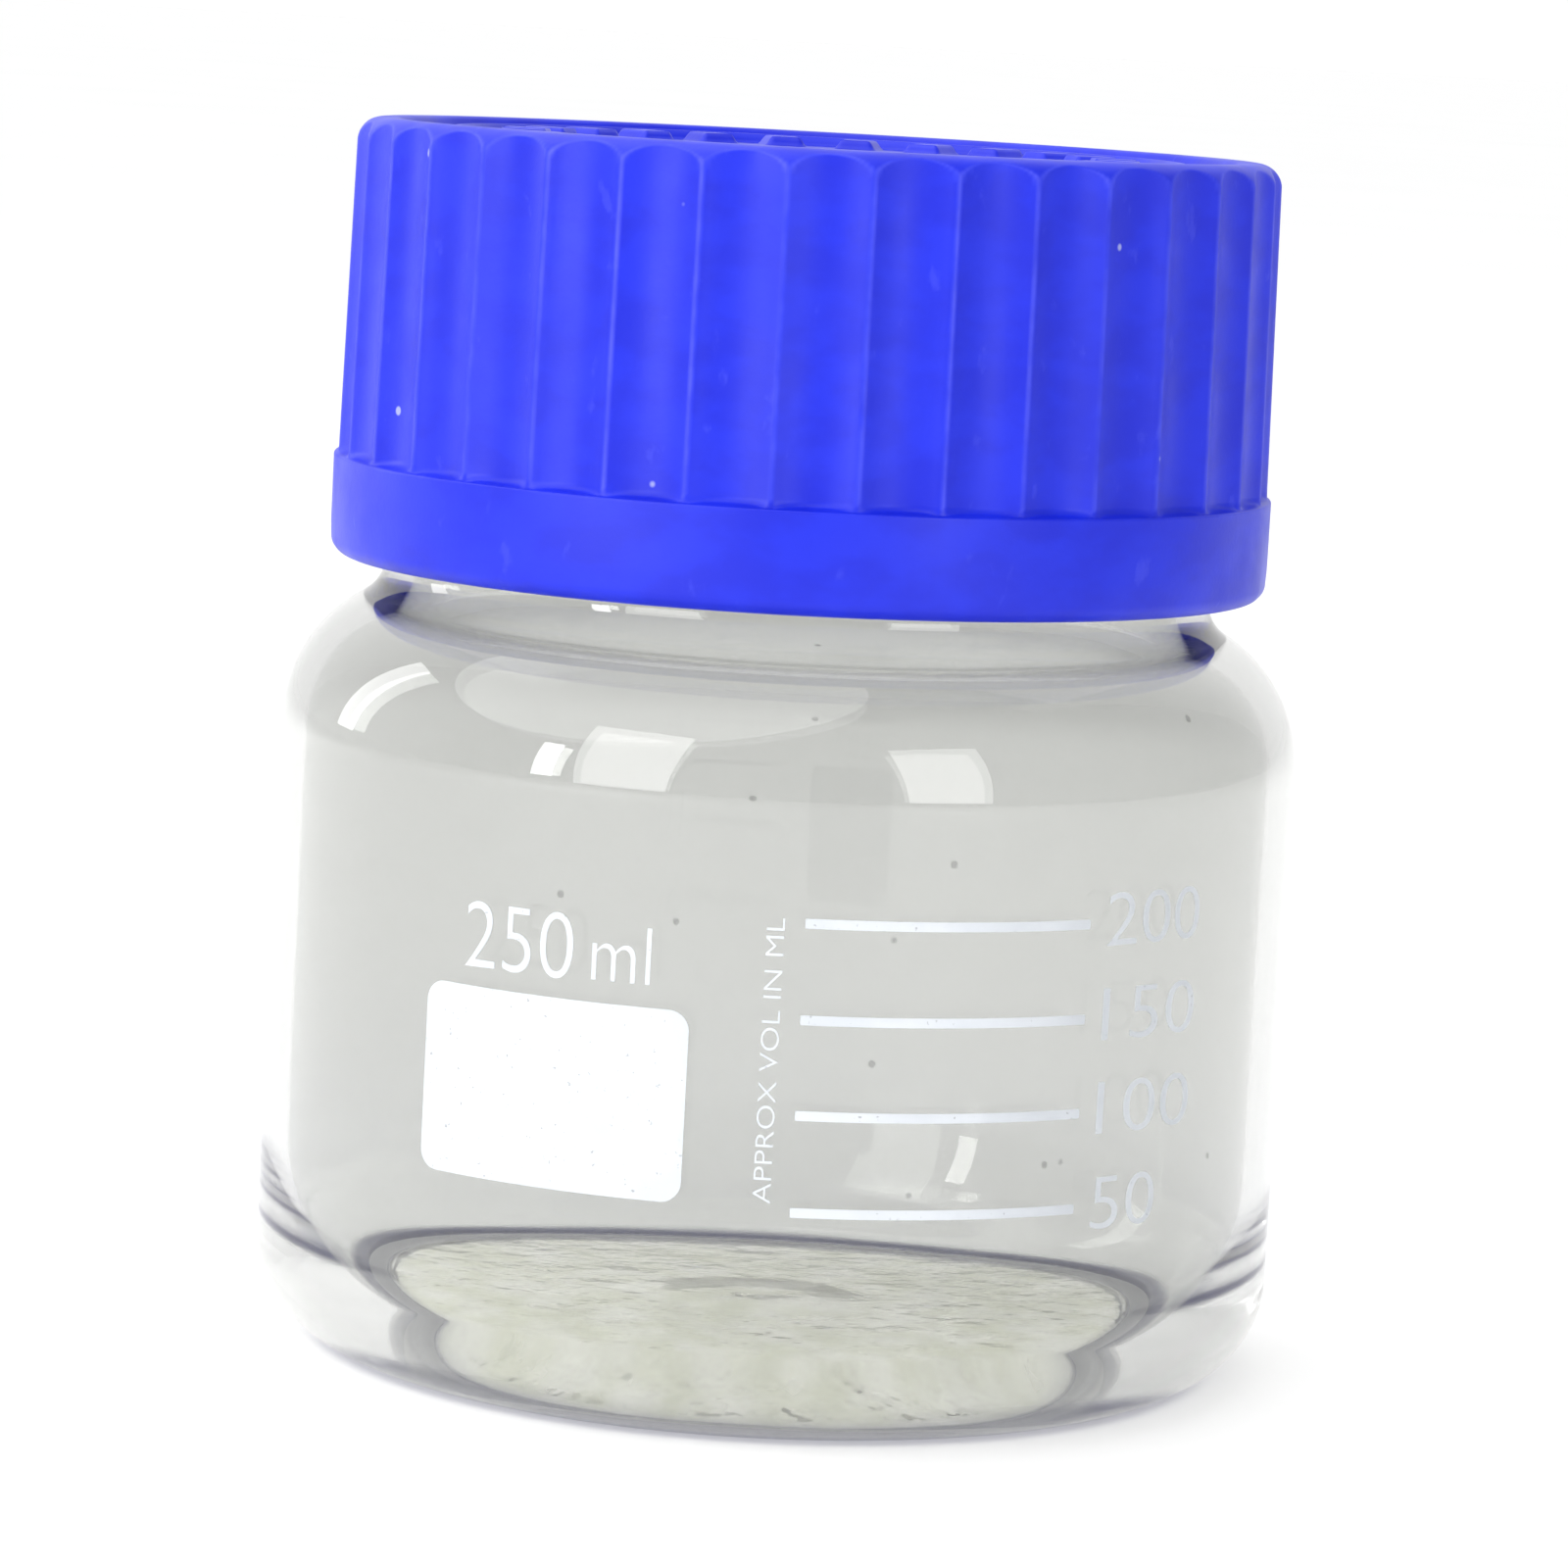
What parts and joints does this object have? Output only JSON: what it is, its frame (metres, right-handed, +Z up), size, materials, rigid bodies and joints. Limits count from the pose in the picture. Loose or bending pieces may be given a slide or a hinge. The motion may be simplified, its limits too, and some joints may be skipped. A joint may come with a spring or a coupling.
{
  "type": "reagent bottle",
  "caption": "Squat wide-mouth glass laboratory bottle with a fluted blue screw cap, sealing disc and pouring ring; the cap unscrews and lifts off.",
  "frame": {"origin": "on the bottle's axis, in the plane of the foot ring it stands on", "axes": "+Z up along the axis of bottle and cap; the printed label side faces -Y, so +X is to the right of someone reading it"},
  "size_m": [0.095, 0.095, 0.1129],
  "materials": {
    "clear_glass": "polished clear borosilicate glass",
    "ring_plastic": "satin moulded polypropylene",
    "seal_silicone": "matt silicone",
    "cap_plastic": "satin moulded polypropylene, blue",
    "white_enamel": "fired white enamel print, satin"
  },
  "bodies": {
    "bottle": {"glass_bottle": "clear_glass", "pouring_ring": "ring_plastic"},
    "seal": {"cap_seal": "seal_silicone"},
    "cap": {"screw_cap": "cap_plastic"}
  },
  "joints": [
    {"name": "cap_lift", "type": "slide", "parent": "bottle", "child": "seal", "axis": [0, 0, 1], "range_m": [0, 0.048]},
    {"name": "cap_turn", "type": "hinge", "parent": "seal", "child": "cap", "pos_m": [0, 0, 0.0729], "axis": [0, 0, 1], "range_deg": [0, 720]}
  ],
  "couplings": [
    {"joint": "cap_lift", "follows": "cap_turn", "m_per_rad": 0.0038197}
  ]
}
